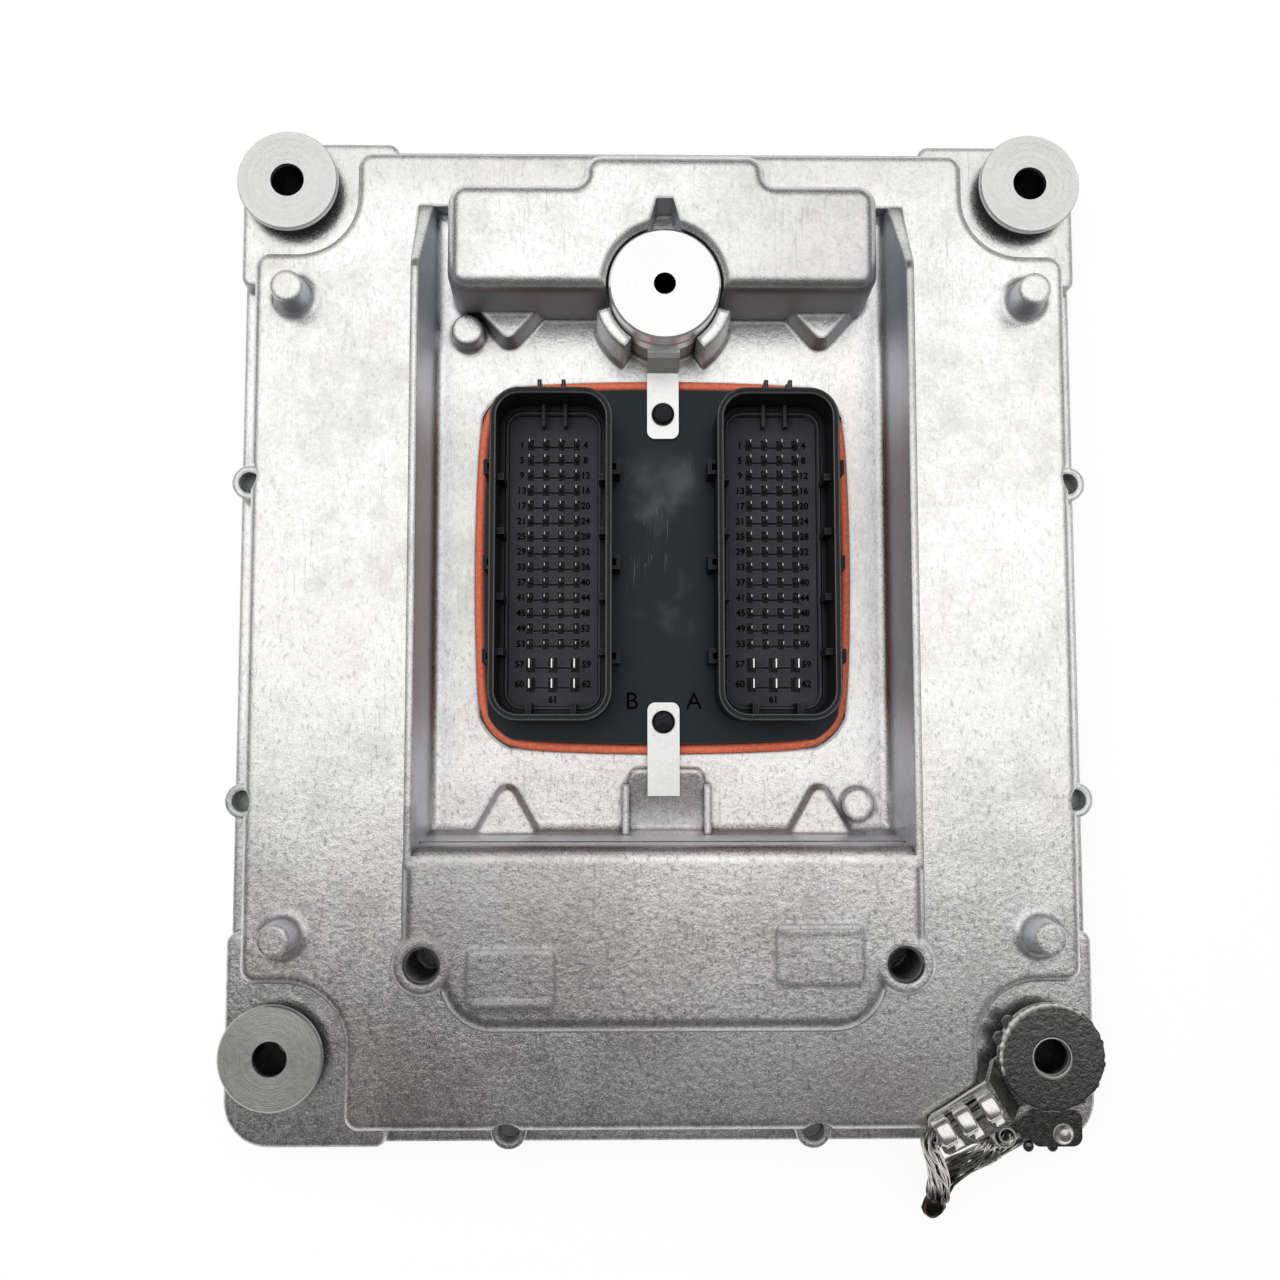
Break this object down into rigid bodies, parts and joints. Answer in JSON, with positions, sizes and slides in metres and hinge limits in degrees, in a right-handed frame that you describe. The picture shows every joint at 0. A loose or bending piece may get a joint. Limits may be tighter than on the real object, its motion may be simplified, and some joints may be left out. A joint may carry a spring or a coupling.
{
  "type": "engine control unit",
  "caption": "Cast aluminium engine control unit with a recessed pair of pin sockets between side walls, rubber-isolated corner mounts and a braided ground strap.",
  "frame": {"origin": "middle of the four isolator holes, on the mounting plane under the lower washers", "axes": "+X across the unit, +Y along it towards the upper block, +Z out of the connector side"},
  "size_m": [0.228, 0.2847, 0.052],
  "materials": {
    "cast_aluminium": "sand-blasted casting",
    "sheet_aluminium": "rolled sheet",
    "black_rubber": "matte",
    "zinc_steel": "zinc plated",
    "board_green": "solder mask",
    "black_epoxy": "moulded",
    "can_aluminium": "drawn can",
    "black_plastic": "moulded",
    "tinned_contacts": "tin plated",
    "orange_silicone": "satin",
    "bright_metal": "bright plated",
    "dark_terminal": "dark tinned",
    "braid_wire": "tinned copper strands"
  },
  "bodies": {
    "root": {"housing": "cast_aluminium", "base_cover": "sheet_aluminium", "cover_gasket": "black_rubber", "isolator_bushes": "black_rubber", "cover_screws": "zinc_steel", "board_screws": "zinc_steel", "isolator_washers": "zinc_steel", "isolator_lower_washers": "zinc_steel", "isolator_sleeves": "zinc_steel", "strap_screw": "zinc_steel", "circuit_board": "board_green", "processor_chip": "black_epoxy", "driver_chips": "black_epoxy", "power_transistors": "black_epoxy", "filter_coils": "black_epoxy", "buffer_capacitors": "can_aluminium", "connector_header": "black_plastic", "signal_pins_a": "tinned_contacts", "signal_pins_b": "tinned_contacts", "power_pins_a": "tinned_contacts", "power_pins_b": "tinned_contacts", "header_seal": "orange_silicone", "centre_pillar": "bright_metal", "upper_clip": "bright_metal", "lower_clip": "bright_metal", "ring_terminal": "dark_terminal", "tab_terminal": "dark_terminal", "strap_braid": "braid_wire"}
  },
  "joints": []
}
